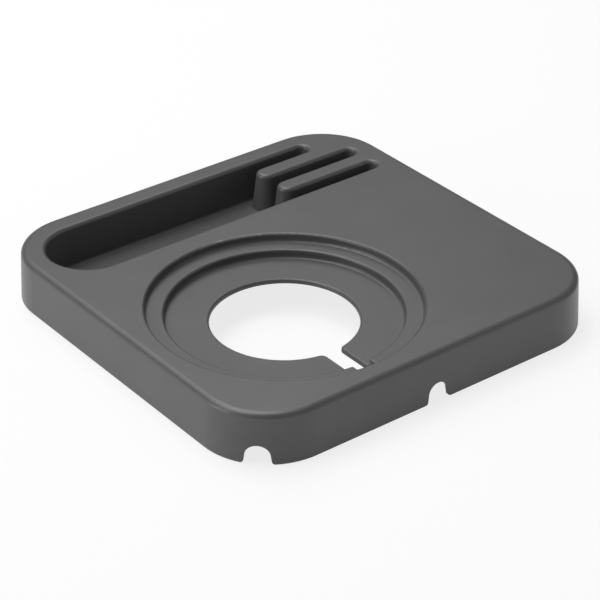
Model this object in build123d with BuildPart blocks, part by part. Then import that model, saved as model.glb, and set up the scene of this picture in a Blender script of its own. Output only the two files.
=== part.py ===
"""Hospitality kettle tray: one moulded shell on five glued-in rubber feet.

The shell is a square deck on a drafted skirt, open underneath.  Its deck holds a
stepped round seat for a kettle's power base, with a hole and a slot that let the
cord down under the tray, and a long trough whose right end is split by two fins
into three slots for sachets.  Two arches in the skirt let the cord out.

Frame: +Z up, origin at the middle of the footprint on the table, +Y towards the
trough, +X towards the slots' closed ends.  Millimetres.
"""
from build123d import *
from math import atan2, cos, degrees, radians, sin, sqrt, tan
import os

# --- Driving dimensions -------------------------------------------------------
# Deck and skirt
DECK_SIDE = 280.0  # deck outline, before its edge is rounded
DECK_CORNER_R = 45.3
SHELL_HEIGHT = 34.0  # skirt's lower edge to deck
SKIRT_DRAFT = 2.9  # degrees, wider at the table
WALL = 2.8  # deck, seat and trough
SKIRT_WALL = 2.4
RIM_RUN = 3.1  # the deck's rim slopes down this far in from the edge
RIM_DROP = 1.7  # and falls this far before it meets the skirt
RIM_UPPER_R = 5.8
RIM_LOWER_R = 3.2

# Feet
TABLE_GAP = 0.8  # the skirt hangs this far above the table
FOOT_R = 8.0
FOOT_DISC = 2.4
FOOT_EDGE_R = 1.0
SPIGOT_R = 4.0
SPIGOT_LENGTH = 1.6
SPIGOT_CLEAR = 0.05
POST_R = 6.5
RIGHT_FOOT_OUT = 108.0  # both coordinates of the front right foot, from the tray's middle
BACK_FOOT_OUT = 113.0
ARCH_FOOT_OUT = 101.0  # from the seat's middle to each foot beside the corner arch
ARCH_FOOT_TURN = 14.0  # degrees that those two feet stand to either side of the arch
GUSSET_SPAN = 26.0
GUSSET_THICK = 1.4
GUSSET_DEPTH = 10.0

# Kettle seat, a stepped round well
SEAT_X = -39.2
SEAT_Y = -38.2
LEDGE_OUTER_R = 87.0  # rim of the well at the deck
SEAT_OUTER_R = 75.2  # rim of the inner seat at the ledge
STEP_DEPTH = 5.75
STEP_LEAN = 0.2  # how far each step's wall leans in over its depth
STEP_TOP_R = 1.5
STEP_BASE_R = 1.7
CORD_HOLE_R = 47.1
PLATE_EDGE_R = 1.5

# Slot that leads the cord from the hole to the foot of the well's outer wall
CORD_SLOT_WIDTH = 12.0
CORD_SLOT_REACH = 83.0
CORD_SLOT_END_R = 2.0
CORD_SLOT_MOUTH_R = 4.5

# Trough and its slots
TROUGH_BACK_Y = 123.8
TROUGH_LEFT_X = -124.5
TROUGH_DEPTH = 27.6
TROUGH_DRAFT = 7.2
SLOT_WIDTH = 10.5
FIN_WIDTH = 13.1
FIN_TIP_X = 49.3
FRONT_SLOT_END_X = 123.8
BACK_SLOT_END_X = 100.4
TROUGH_RIM_R = 2.8
TROUGH_BASE_R = 1.8

# Cord arches in the skirt
CORNER_ARCH_R = 7.9  # the round top of each arch
FRONT_ARCH_R = 7.3
FRONT_ARCH_X = -1.3
ARCH_HEIGHT = 12.6
ARCH_DRAFT = 8.0  # degrees that the sides of an arch lean in
ARCH_FOOT_R = 2.2
ARCH_EDGE_R = 0.5

# Ribs under the open part of the deck
RIB_THICK = 1.6
RIB_DEPTH = 8.0
RIB_ROWS = (-90.0, -39.5, 11.0)
RIB_COLUMN_X = 95.0

# --- Worked out from them -----------------------------------------------------
deck_z = TABLE_GAP + SHELL_HEIGHT
under_deck_z = deck_z - WALL
skirt_lean = SHELL_HEIGHT * tan(radians(SKIRT_DRAFT))
rim_slope = degrees(atan2(RIM_RUN, RIM_DROP))  # from upright
rim_foot_z = deck_z - RIM_DROP
foot_side = DECK_SIDE + 2 * skirt_lean
foot_corner_r = DECK_CORNER_R + skirt_lean
ledge_z = deck_z - STEP_DEPTH
seat_z = ledge_z - STEP_DEPTH
trough_floor_z = deck_z - TROUGH_DEPTH
trough_width = 3 * SLOT_WIDTH + 2 * FIN_WIDTH
trough_mid_y = TROUGH_BACK_Y - trough_width / 2
slot_pitch = SLOT_WIDTH + FIN_WIDTH
trough_end_r = trough_width / 2
fin_nose_x = FIN_TIP_X + FIN_WIDTH / 2
rib_end_x = (DECK_SIDE - SKIRT_WALL) / 2
rib_front_y = -rib_end_x
rib_back_y = TROUGH_BACK_Y - trough_width - WALL / 2
arch_feet = [
    (SEAT_X - ARCH_FOOT_OUT * cos(radians(turn)), SEAT_Y - ARCH_FOOT_OUT * sin(radians(turn)))
    for turn in (45 + ARCH_FOOT_TURN, 45 - ARCH_FOOT_TURN)
]
foot_spots = {
    "foot_back_left": (TROUGH_LEFT_X + trough_end_r, trough_mid_y),
    "foot_back_right": (BACK_FOOT_OUT, BACK_FOOT_OUT),
    "foot_front_right": (RIGHT_FOOT_OUT, -RIGHT_FOOT_OUT),
    "foot_front_left": arch_feet[0],
    "foot_side_left": arch_feet[1],
}
deck_post_spots = [spot for name, spot in foot_spots.items() if name != "foot_back_left"]
seat_axis = Axis((SEAT_X, SEAT_Y, 0), (0, 0, 1))
seat_section = Plane(origin=(SEAT_X, SEAT_Y, 0), x_dir=(1, 0, 0), z_dir=(0, -1, 0))


def trough_outline(grow):
    """Draw the trough in the open sketch, every wall moved outward by grow."""
    end_x = TROUGH_LEFT_X + trough_end_r
    with Locations((end_x, trough_mid_y)):
        Circle(trough_end_r + grow)
    with Locations(((end_x + fin_nose_x) / 2, trough_mid_y)):
        Rectangle(fin_nose_x - end_x, trough_width + 2 * grow)
    slot_ends = (FRONT_SLOT_END_X, FRONT_SLOT_END_X, BACK_SLOT_END_X)
    for row, slot_end in zip((-1, 0, 1), slot_ends):
        slot_y = trough_mid_y + row * slot_pitch
        round_x = slot_end - SLOT_WIDTH / 2
        with Locations(((fin_nose_x + round_x) / 2, slot_y)):
            Rectangle(round_x - fin_nose_x, SLOT_WIDTH + 2 * grow)
        with Locations((round_x, slot_y)):
            Circle(SLOT_WIDTH / 2 + grow)
    for side in (-1, 1):
        with Locations((fin_nose_x, trough_mid_y + side * slot_pitch / 2)):
            Circle(FIN_WIDTH / 2 - grow, mode=Mode.SUBTRACT)


def well_corners(grow):
    """Corners of half the kettle seat's stepped section, moved out by grow."""
    return (
        (0, deck_z - grow),
        (LEDGE_OUTER_R + grow, deck_z - grow),
        (LEDGE_OUTER_R + grow - STEP_LEAN, ledge_z - grow),
        (SEAT_OUTER_R + grow, ledge_z - grow),
        (SEAT_OUTER_R + grow - STEP_LEAN, seat_z - grow),
        (0, seat_z - grow),
    )


def trough_edges(shell, height):
    """The trough's edges at one height, between the lines of its two long walls."""
    front_y = TROUGH_BACK_Y - trough_width
    across = shell.edges().filter_by_position(Axis.Y, front_y - 1, TROUGH_BACK_Y + 1)
    return across.filter_by_position(Axis.Z, height - 0.01, height + 0.01)


def seat_edges(shell, radius, height):
    """The kettle seat's round edges of one radius at one height."""
    rings = shell.edges().filter_by(GeomType.CIRCLE)
    rings = rings.filter_by(lambda ring: abs(ring.radius - radius) < 0.01)
    return rings.filter_by_position(Axis.Z, height - 0.01, height + 0.01)


def borders_cord_cut(edge):
    """True for an upper edge that the cord hole and slot leave in the seat and ledge."""
    spot = edge @ 0.5
    out = sqrt((spot.X - SEAT_X) ** 2 + (spot.Y - SEAT_Y) ** 2)
    around_hole = out < CORD_HOLE_R + CORD_SLOT_MOUTH_R
    in_front = -CORD_SLOT_REACH - 1 < spot.Y - SEAT_Y < 0
    beside_slot = abs(spot.X - SEAT_X) < CORD_SLOT_WIDTH and in_front
    top_z = seat_z if out < SEAT_OUTER_R + WALL - STEP_LEAN else ledge_z
    return (around_hole or beside_slot) and spot.Z > top_z - 0.01


def borders_skirt(edge):
    """True for an edge on the skirt's outside, along its foot or around an arch."""
    spot = edge @ 0.5
    lean = (spot.Z - TABLE_GAP) * tan(radians(SKIRT_DRAFT))
    straight = foot_side / 2 - foot_corner_r
    out = sqrt(max(abs(spot.X) - straight, 0) ** 2 + max(abs(spot.Y) - straight, 0) ** 2)
    return abs(out + lean - foot_corner_r) < 0.05 and spot.Z < TABLE_GAP + ARCH_HEIGHT + 0.01


def arch_outline(top_r, shift):
    """Draw a cord arch in the open sketch, its foot on the skirt's lower edge."""
    lean = radians(ARCH_DRAFT)
    top_mid = ARCH_HEIGHT - top_r
    side_top = top_mid + top_r * sin(lean)
    foot_width = 2 * (top_r * cos(lean) + side_top * tan(lean))
    with Locations((shift, top_mid)):
        Circle(top_r)
    with Locations((shift, side_top / 2)):
        Trapezoid(foot_width, side_top, 90 - ARCH_DRAFT)


# --- Shell ----------------------------------------------------------------------
with BuildPart() as tray_shell:
    # Drafted block with a softly sloping rim, then hollowed from below
    with BuildSketch(Plane.XY.offset(TABLE_GAP)):
        RectangleRounded(foot_side, foot_side, foot_corner_r)
    extrude(amount=SHELL_HEIGHT - RIM_DROP, taper=SKIRT_DRAFT)
    extrude(tray_shell.faces().sort_by(Axis.Z)[-1], amount=RIM_DROP, taper=rim_slope)
    fillet(tray_shell.edges().group_by(Axis.Z)[-1], RIM_UPPER_R)
    rim_foot = tray_shell.edges().filter_by_position(Axis.Z, rim_foot_z - 0.01, rim_foot_z + 0.01)
    fillet(rim_foot, RIM_LOWER_R)
    with BuildSketch(Plane.XY.offset(TABLE_GAP)):
        inner_side = foot_side - 2 * SKIRT_WALL
        RectangleRounded(inner_side, inner_side, foot_corner_r - SKIRT_WALL)
    extrude(amount=SHELL_HEIGHT - WALL, taper=SKIRT_DRAFT, mode=Mode.SUBTRACT)

    # Cups under the trough and the kettle seat, one wall thicker all round
    with BuildSketch(Plane.XY.offset(under_deck_z)):
        trough_outline(WALL)
    extrude(amount=-TROUGH_DEPTH, taper=TROUGH_DRAFT)
    with BuildSketch(seat_section):
        with BuildLine():
            Polyline(*well_corners(WALL), close=True)
        make_face()
    revolve(axis=seat_axis)

    # Ribs under the broad right-hand side of the deck, and gussets around each post
    for rib_y in RIB_ROWS:
        rib_start = SEAT_X + sqrt((LEDGE_OUTER_R + WALL) ** 2 - (rib_y - SEAT_Y) ** 2) - WALL / 2
        with BuildSketch(Plane.XY.offset(under_deck_z)):
            with Locations(((rib_start + rib_end_x) / 2, rib_y)):
                Rectangle(rib_end_x - rib_start, RIB_THICK)
        extrude(amount=-RIB_DEPTH)
    with BuildSketch(Plane.XY.offset(under_deck_z)):
        with Locations((RIB_COLUMN_X, (rib_front_y + rib_back_y) / 2)):
            Rectangle(RIB_THICK, rib_back_y - rib_front_y)
    extrude(amount=-RIB_DEPTH)
    with BuildSketch(Plane.XY.offset(under_deck_z)):
        with Locations(*deck_post_spots):
            Rectangle(GUSSET_SPAN, GUSSET_THICK)
            Rectangle(GUSSET_THICK, GUSSET_SPAN)
    extrude(amount=-GUSSET_DEPTH)

    # Posts for the feet: tubes under the deck and a low boss under the trough
    with BuildSketch(Plane.XY.offset(FOOT_DISC)):
        with Locations(*deck_post_spots):
            Circle(POST_R)
            Circle(SPIGOT_R, mode=Mode.SUBTRACT)
    extrude(amount=under_deck_z - FOOT_DISC)
    with BuildSketch(Plane.XY.offset(FOOT_DISC)):
        with Locations(foot_spots["foot_back_left"]):
            Circle(POST_R)
            Circle(SPIGOT_R, mode=Mode.SUBTRACT)
    extrude(amount=trough_floor_z - WALL - FOOT_DISC)

    # Trough
    with BuildSketch(Plane.XY.offset(deck_z)):
        trough_outline(0)
    extrude(amount=-TROUGH_DEPTH, taper=TROUGH_DRAFT, mode=Mode.SUBTRACT)
    fillet(trough_edges(tray_shell, deck_z), TROUGH_RIM_R)
    fillet(trough_edges(tray_shell, trough_floor_z), TROUGH_BASE_R)

    # Kettle seat
    with BuildSketch(seat_section):
        with BuildLine():
            Polyline(*well_corners(0), close=True)
        make_face()
    revolve(axis=seat_axis, mode=Mode.SUBTRACT)
    fillet(seat_edges(tray_shell, LEDGE_OUTER_R, deck_z), STEP_TOP_R)
    fillet(seat_edges(tray_shell, SEAT_OUTER_R, ledge_z), STEP_TOP_R)
    fillet(seat_edges(tray_shell, LEDGE_OUTER_R - STEP_LEAN, ledge_z), STEP_BASE_R)
    fillet(seat_edges(tray_shell, SEAT_OUTER_R - STEP_LEAN, seat_z), STEP_BASE_R)

    # Cord hole and the slot that runs out of it towards the front
    with BuildSketch(Plane.XY) as hole_outline:
        with Locations((SEAT_X, SEAT_Y)):
            Circle(CORD_HOLE_R)
        with Locations((SEAT_X, SEAT_Y - CORD_SLOT_REACH / 2)):
            Rectangle(CORD_SLOT_WIDTH, CORD_SLOT_REACH)
        fillet(hole_outline.vertices().group_by(Axis.Y)[1], CORD_SLOT_MOUTH_R)
        fillet(hole_outline.vertices().group_by(Axis.Y)[0], CORD_SLOT_END_R)
    extrude(amount=under_deck_z, mode=Mode.SUBTRACT)
    fillet(tray_shell.edges().filter_by(borders_cord_cut), PLATE_EDGE_R)

    # Cord arches: one through the front, one through the corner beside the kettle seat
    arches = (
        ((0, -1, 0), FRONT_ARCH_R, FRONT_ARCH_X),
        ((-1, -1, 0), CORNER_ARCH_R, 0),
    )
    for outward, top_r, shift in arches:
        across = (-outward[1], outward[0], 0)
        with BuildSketch(Plane(origin=(0, 0, TABLE_GAP), x_dir=across, z_dir=outward)):
            arch_outline(top_r, shift)
        extrude(amount=foot_side, mode=Mode.SUBTRACT)
    foot_edges = tray_shell.edges().filter_by_position(Axis.Z, TABLE_GAP - 0.01, TABLE_GAP + 0.01)
    fillet(foot_edges.filter_by(lambda edge: edge.length < 1.2 * SKIRT_WALL), ARCH_FOOT_R)
    fillet(tray_shell.edges().filter_by(borders_skirt), ARCH_EDGE_R)
tray_shell.part.label = "tray_shell"

# --- Rubber feet, each with a spigot in its post's bore ---------------------------
feet = []
for name, spot in foot_spots.items():
    with BuildPart() as foot:
        with BuildSketch(Plane.XY):
            with Locations(spot):
                Circle(FOOT_R)
        extrude(amount=FOOT_DISC)
        fillet(foot.edges().group_by(Axis.Z)[0], FOOT_EDGE_R)
        with BuildSketch(Plane.XY.offset(FOOT_DISC)):
            with Locations(spot):
                Circle(SPIGOT_R - SPIGOT_CLEAR)
        extrude(amount=SPIGOT_LENGTH)
    foot.part.label = name
    feet.append(foot.part)

os.makedirs("parts", exist_ok=True)
for piece in (tray_shell.part, *feet):
    export_step(piece, f"parts/{piece.label}.step")
    print(piece.label, round(piece.volume), "mm3", "valid" if piece.is_valid else "NOT VALID")
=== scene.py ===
# %% [markdown]
# # A kettle tray in moulded plastic
#
# This lesson dresses a hospitality kettle tray: a low square tray with a stepped round
# seat for a kettle's power base, a hole and a slot for its cord, and a trough that ends
# in narrow slots for sachets. The tray is one plastic moulding on five rubber feet.
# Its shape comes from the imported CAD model, which stays exactly where it is, so the
# lesson is about finish, light and camera.

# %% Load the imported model
import math

import bpy
from mathutils import Matrix, Vector


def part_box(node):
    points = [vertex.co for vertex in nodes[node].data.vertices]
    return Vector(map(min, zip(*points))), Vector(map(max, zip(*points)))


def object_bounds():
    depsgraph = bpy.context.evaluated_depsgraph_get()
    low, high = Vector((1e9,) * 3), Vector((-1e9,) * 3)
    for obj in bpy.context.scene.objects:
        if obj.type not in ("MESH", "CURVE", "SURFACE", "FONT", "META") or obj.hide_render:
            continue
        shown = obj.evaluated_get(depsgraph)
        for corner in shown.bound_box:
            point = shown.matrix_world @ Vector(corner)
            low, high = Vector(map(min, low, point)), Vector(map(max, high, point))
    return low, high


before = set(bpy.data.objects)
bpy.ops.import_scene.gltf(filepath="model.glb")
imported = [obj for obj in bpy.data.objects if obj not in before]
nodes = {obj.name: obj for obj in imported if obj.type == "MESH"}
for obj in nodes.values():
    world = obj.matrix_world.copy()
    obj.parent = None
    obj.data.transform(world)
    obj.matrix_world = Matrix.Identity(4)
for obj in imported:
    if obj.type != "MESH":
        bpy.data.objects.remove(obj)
cad_low, cad_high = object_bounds()
MM = 0.001
print("nodes:", sorted(nodes))
print("size, mm:", [round(v / MM, 1) for v in cad_high - cad_low])

# %% [markdown]
# ## Where things are
#
# Lengths in the scene are metres, and a maker thinks of this tray in millimetres, so
# every size below is written in millimetres and multiplied by `MM`. The tray's own
# places are read from the CAD nodes: the shell's box gives its middle and its foot,
# and the feet give the table, a little below the shell's lower edge.

# %% The places that the rest of the scene is set out from
shell_low, shell_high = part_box("tray_shell")
shell_middle = (shell_low + shell_high) / 2
table_z = cad_low.z
print("shell side, mm:", round((shell_high.x - shell_low.x) / MM, 1))
print("gap under the shell, mm:", round((shell_low.z - table_z) / MM, 2))

# %% [markdown]
# ## Small helpers
#
# Blender's shaders work in linear light, while colours are usually written as sRGB hex
# values, so one function turns the second into the first. A second function adds a node
# to a material, sets it and links it, so that a material reads as a short list of its
# layers. A third says how fine a noise has to be for its blotches to have a real size.
#
# A Mix node keeps a socket for every kind of value that it can mix. For colours, its two
# inputs are sockets 6 and 7, and the mixed colour comes out of socket 2.

# %% Colour, node and scale helpers
def linear(hex_colour):
    """An sRGB hex colour, such as "3a3b3c", as a linear RGBA tuple."""
    channels = [int(hex_colour[i : i + 2], 16) / 255 for i in (0, 2, 4)]
    straight = [c / 12.92 if c <= 0.04045 else ((c + 0.055) / 1.055) ** 2.4 for c in channels]
    return (*straight, 1.0)


def add_node(owner, kind, settings=None, inputs=None):
    """Adds one node; an input is a value, or another node's output socket to link."""
    node = owner.node_tree.nodes.new(kind)
    for name, value in (settings or {}).items():
        setattr(node, name, value)
    for name, value in (inputs or {}).items():
        if isinstance(value, bpy.types.NodeSocket):
            owner.node_tree.links.new(value, node.inputs[name])
        else:
            node.inputs[name].default_value = value
    return node


def per_blotch(size_mm):
    """The scale of a noise whose blotches are this many millimetres across."""
    return 1 / (size_mm * MM)


print("hex 808080 is", round(linear("808080")[0], 3), "in linear light")
print("3 mm blotches need a noise scale of", round(per_blotch(3)))

# %% [markdown]
# Each finish below is built from nothing, in a material whose node tree starts out
# empty, and a piece then wears that one material all over. Painting faces one by one
# would also work, but each piece here is a single moulding in a single colour.

# %% Starting a material and giving it to a piece
def empty_material(name):
    """A material whose node tree is empty."""
    material = bpy.data.materials.new(name)
    material.use_nodes = True
    material.node_tree.nodes.clear()
    return material


def dress(node_name, material):
    """Gives a CAD node one material."""
    mesh = nodes[node_name].data
    mesh.materials.clear()
    mesh.materials.append(material)
    print(node_name, "wears", material.name)


# %% [markdown]
# ## The shell: moulded ABS
#
# The shell is ABS, coloured anthracite right through and injection moulded in one shot.
# Its mould was spark-eroded, which leaves a fine matt grain: light spreads into a soft
# sheen that still draws a clear bright line along every rounded edge. ABS has an IOR
# of about 1.5, and grain like this gives a roughness just under 0.4.
#
# Three things keep such a surface from looking computed. The pigment isn't spread quite
# evenly, which leaves faint clouds a few centimetres wide. Wiping polishes some places a
# little more than others, so the roughness drifts. The grain itself is about 0.1 mm
# from pit to pit, too fine to show at this distance, so it is drawn 1.2 mm coarse and
# very shallow.

# %% Shell material
CLOUD_MM = 35
WIPED_MM = 14
GRAIN_MM = 1.2
GRAIN_DEPTH_MM = 0.02
WIPED_ROUGHNESS = 0.35
UNTOUCHED_ROUGHNESS = 0.41


def moulded_abs():
    """Anthracite ABS with a spark-eroded grain: dark, matt and softly shining."""
    material = empty_material("moulded_abs")
    place = add_node(material, "ShaderNodeTexCoord").outputs["Object"]
    clouds = add_node(
        material,
        "ShaderNodeTexNoise",
        inputs={"Vector": place, "Scale": per_blotch(CLOUD_MM), "Detail": 3.0},
    )
    pigment = add_node(
        material,
        "ShaderNodeMix",
        {"data_type": "RGBA"},
        {"Factor": clouds.outputs["Fac"], 6: linear("4d4d4d"), 7: linear("575757")},
    )
    wiped = add_node(
        material,
        "ShaderNodeTexNoise",
        inputs={"Vector": place, "Scale": per_blotch(WIPED_MM), "Detail": 2.0},
    )
    sheen = add_node(
        material,
        "ShaderNodeMapRange",
        inputs={
            "Value": wiped.outputs["Fac"],
            "To Min": WIPED_ROUGHNESS,
            "To Max": UNTOUCHED_ROUGHNESS,
        },
    )
    grain = add_node(
        material,
        "ShaderNodeTexNoise",
        inputs={"Vector": place, "Scale": per_blotch(GRAIN_MM), "Detail": 2.0},
    )
    pits = add_node(
        material,
        "ShaderNodeBump",
        inputs={"Height": grain.outputs["Fac"], "Distance": GRAIN_DEPTH_MM * MM},
    )
    plastic = add_node(
        material,
        "ShaderNodeBsdfPrincipled",
        inputs={
            "Base Color": pigment.outputs[2],
            "Roughness": sheen.outputs["Result"],
            "Normal": pits.outputs["Normal"],
            "IOR": 1.5,
        },
    )
    add_node(material, "ShaderNodeOutputMaterial", inputs={"Surface": plastic.outputs["BSDF"]})
    return material


dress("tray_shell", moulded_abs())

# %% [markdown]
# ## The feet: moulded rubber
#
# The five feet are black synthetic rubber. Rubber scatters light more widely than the
# shell, so it looks blacker and duller, with a roughness near 0.7. Its soft skin holds
# dust, which greys it in specks, and it takes the grain of a sand-blasted mould, drawn
# 0.7 mm coarse here. The floor hides nearly all of it: it is there for a tray that has
# been turned over.

# %% Foot material
DUST_MM = 2.5
BLAST_MM = 0.7
BLAST_DEPTH_MM = 0.03
CLEAN_ROUGHNESS = 0.62
DUSTY_ROUGHNESS = 0.8


def black_rubber():
    """Black moulded rubber with dust in its skin: dull, with no bright edge."""
    material = empty_material("black_rubber")
    place = add_node(material, "ShaderNodeTexCoord").outputs["Object"]
    specks = add_node(
        material,
        "ShaderNodeTexNoise",
        inputs={"Vector": place, "Scale": per_blotch(DUST_MM), "Detail": 5.0},
    )
    dusty = add_node(
        material,
        "ShaderNodeMix",
        {"data_type": "RGBA"},
        {"Factor": specks.outputs["Fac"], 6: linear("151515"), 7: linear("262524")},
    )
    dull = add_node(
        material,
        "ShaderNodeMapRange",
        inputs={
            "Value": specks.outputs["Fac"],
            "To Min": CLEAN_ROUGHNESS,
            "To Max": DUSTY_ROUGHNESS,
        },
    )
    blast = add_node(
        material,
        "ShaderNodeTexNoise",
        inputs={"Vector": place, "Scale": per_blotch(BLAST_MM), "Detail": 2.0},
    )
    dimples = add_node(
        material,
        "ShaderNodeBump",
        inputs={"Height": blast.outputs["Fac"], "Distance": BLAST_DEPTH_MM * MM},
    )
    rubber = add_node(
        material,
        "ShaderNodeBsdfPrincipled",
        inputs={
            "Base Color": dusty.outputs[2],
            "Roughness": dull.outputs["Result"],
            "Normal": dimples.outputs["Normal"],
            "IOR": 1.52,
        },
    )
    add_node(material, "ShaderNodeOutputMaterial", inputs={"Surface": rubber.outputs["BSDF"]})
    return material


rubber = black_rubber()
for name in sorted(nodes):
    if name.startswith("foot_"):
        dress(name, rubber)

# %% [markdown]
# ## The floor
#
# A product studio stands its subject on a sheet of white paper. Lit only by the lamps,
# the paper would come out a pale grey. Rather than more light, which would wash out the
# plastic, most of the paper's brightness is given to the rays that see it: rays from the
# eye, and rays that meet it in a reflection or through glass. A glow of strength 1 is
# exactly white. The rest is a plain matt white, and that share still takes the tray's
# soft shadow.

# %% Floor material
PAPER_GLOW = 0.8


def seen_rays(owner):
    """1 for rays that the eye meets directly, in a reflection or through glass."""
    rays = add_node(owner, "ShaderNodeLightPath")
    direct = add_node(
        owner,
        "ShaderNodeMath",
        {"operation": "MAXIMUM"},
        {0: rays.outputs["Is Camera Ray"], 1: rays.outputs["Is Glossy Ray"]},
    )
    seen = add_node(
        owner,
        "ShaderNodeMath",
        {"operation": "MAXIMUM"},
        {0: direct.outputs["Value"], 1: rays.outputs["Is Transmission Ray"]},
    )
    return seen.outputs["Value"]


def white_paper():
    """White studio paper: a matt white that keeps a faint shadow."""
    material = empty_material("white_paper")
    matt = add_node(material, "ShaderNodeBsdfDiffuse", inputs={"Color": linear("f4f4f4")})
    glow = add_node(material, "ShaderNodeEmission", inputs={"Color": linear("ffffff"), "Strength": 1.0})
    share = add_node(
        material,
        "ShaderNodeMath",
        {"operation": "MULTIPLY"},
        {0: seen_rays(material), 1: PAPER_GLOW},
    )
    paper = add_node(
        material,
        "ShaderNodeMixShader",
        inputs={0: share.outputs["Value"], 1: matt.outputs["BSDF"], 2: glow.outputs["Emission"]},
    )
    add_node(material, "ShaderNodeOutputMaterial", inputs={"Surface": paper.outputs["Shader"]})
    return material


paper = white_paper()
print("floor material:", paper.name)

# %% [markdown]
# The paper reaches far enough past the tray to fill the view from about 9 degrees above
# the table upwards. From lower down its far edge shows, with the dim world above it. It
# lies at the feet's lowest point, so the tray stands on it, and from below it hides the
# tray's underside.

# %% Floor
PAPER_REACH = 8.0
corners = [
    (right * PAPER_REACH, back * PAPER_REACH, table_z)
    for right, back in ((-1, -1), (1, -1), (1, 1), (-1, 1))
]
floor_mesh = bpy.data.meshes.new("floor")
floor_mesh.from_pydata(corners, [], [(0, 1, 2, 3)])
floor_mesh.materials.append(paper)
floor = bpy.data.objects.new("floor", floor_mesh)
bpy.context.scene.collection.objects.link(floor)
print("floor, m across:", 2 * PAPER_REACH)

# %% [markdown]
# ## Light
#
# Dark plastic shows its shape by what it reflects, so the lamps are large softboxes. One
# hangs overhead, leaning back a little, and one stands high on the left; they light the
# deck. The ones behind give the deck its sheen and put a bright line on the rounded
# edges that face them. A low one on the left lights that side of the skirt, and weak low
# ones in front light the other side less. Nothing stands in front of the tray at mid
# height, and that gap draws the dark line under the deck's rim. Together they light a
# level surface at about the strength at which a colour comes out as it is written.

# %% Softboxes
SOFTBOX_SIDE = 1.0
SOFTBOX_DISTANCE = 2.0
SOFTBOXES = {
    "overhead": (180, 75, 18.4),
    "left": (252, 58, 10.3),
    "behind": (180, 50, 5.3),
    "behind_right": (150, 50, 5.5),
    "right_rear": (135, 38, 1.3),
    "left_low": (254, 10, 15.0),
    "front_low": (0, 10, 1.4),
    "front_right_low": (45, 10, 4.4),
}


def softbox(name, azimuth, elevation, watts):
    """A square lamp that faces the tray; azimuth 0 is the front, 90 the right."""
    turn, rise = math.radians(azimuth), math.radians(elevation)
    away = Vector(
        (math.sin(turn) * math.cos(rise), -math.cos(turn) * math.cos(rise), math.sin(rise))
    )
    lamp = bpy.data.lights.new(name, "AREA")
    lamp.shape = "SQUARE"
    lamp.size = SOFTBOX_SIDE
    lamp.energy = watts
    holder = bpy.data.objects.new(name, lamp)
    bpy.context.scene.collection.objects.link(holder)
    holder.location = shell_middle + away * SOFTBOX_DISTANCE
    holder.rotation_mode = "QUATERNION"
    holder.rotation_quaternion = away.to_track_quat("Z", "Y")


for name, (azimuth, elevation, watts) in SOFTBOXES.items():
    softbox(name, azimuth, elevation, watts)
print("softboxes:", len(SOFTBOXES), "watts:", round(sum(row[2] for row in SOFTBOXES.values()), 1))

# %% [markdown]
# A dim, even world fills the shadows, as light bouncing round a studio does.

# %% World
ROOM_FILL = 0.1
world = bpy.data.worlds.new("studio")
world.use_nodes = True
world.node_tree.nodes.clear()
room = add_node(
    world, "ShaderNodeBackground", inputs={"Color": linear("ffffff"), "Strength": ROOM_FILL}
)
add_node(world, "ShaderNodeOutputWorld", inputs={"Surface": room.outputs["Background"]})
bpy.context.scene.world = world
print("world fill:", ROOM_FILL)

# %% [markdown]
# ## Camera
#
# The camera looks down at the corner beside the kettle seat, about a metre and a half
# away through a long lens, which keeps the sides nearly parallel as a catalogue picture
# does. It is set by the angles that it looks along, and its aim is nudged by about two
# millimetres to centre the tray.

# %% Camera
VIEW_AZIMUTH = math.radians(-37.689)
VIEW_ELEVATION = math.radians(31.214)
VIEW_ROLL = math.radians(-0.067)
VIEW_DISTANCE = 1459.12 * MM
AIM_RIGHT = 1.889 * MM
AIM_UP = 2.499 * MM
LENS_MM = 135.29
SENSOR_MM = 36.0

back = Vector(
    (
        math.sin(VIEW_AZIMUTH) * math.cos(VIEW_ELEVATION),
        -math.cos(VIEW_AZIMUTH) * math.cos(VIEW_ELEVATION),
        math.sin(VIEW_ELEVATION),
    )
)
level_right = Vector((math.cos(VIEW_AZIMUTH), math.sin(VIEW_AZIMUTH), 0))
level_up = back.cross(level_right)
right = math.cos(VIEW_ROLL) * level_right + math.sin(VIEW_ROLL) * level_up
up = math.cos(VIEW_ROLL) * level_up - math.sin(VIEW_ROLL) * level_right
foot_middle = Vector((shell_middle.x, shell_middle.y, shell_low.z))
camera_spot = foot_middle + back * VIEW_DISTANCE + right * AIM_RIGHT + up * AIM_UP

camera_data = bpy.data.cameras.new("camera")
camera_data.lens = LENS_MM
camera_data.sensor_width = SENSOR_MM
camera = bpy.data.objects.new("camera", camera_data)
bpy.context.scene.collection.objects.link(camera)
camera.matrix_world = Matrix.Translation(camera_spot) @ Matrix((right, up, back)).transposed().to_4x4()
bpy.context.scene.camera = camera
bpy.context.scene.view_settings.view_transform = "Standard"
print("camera at, mm:", [round(v / MM) for v in camera_spot])
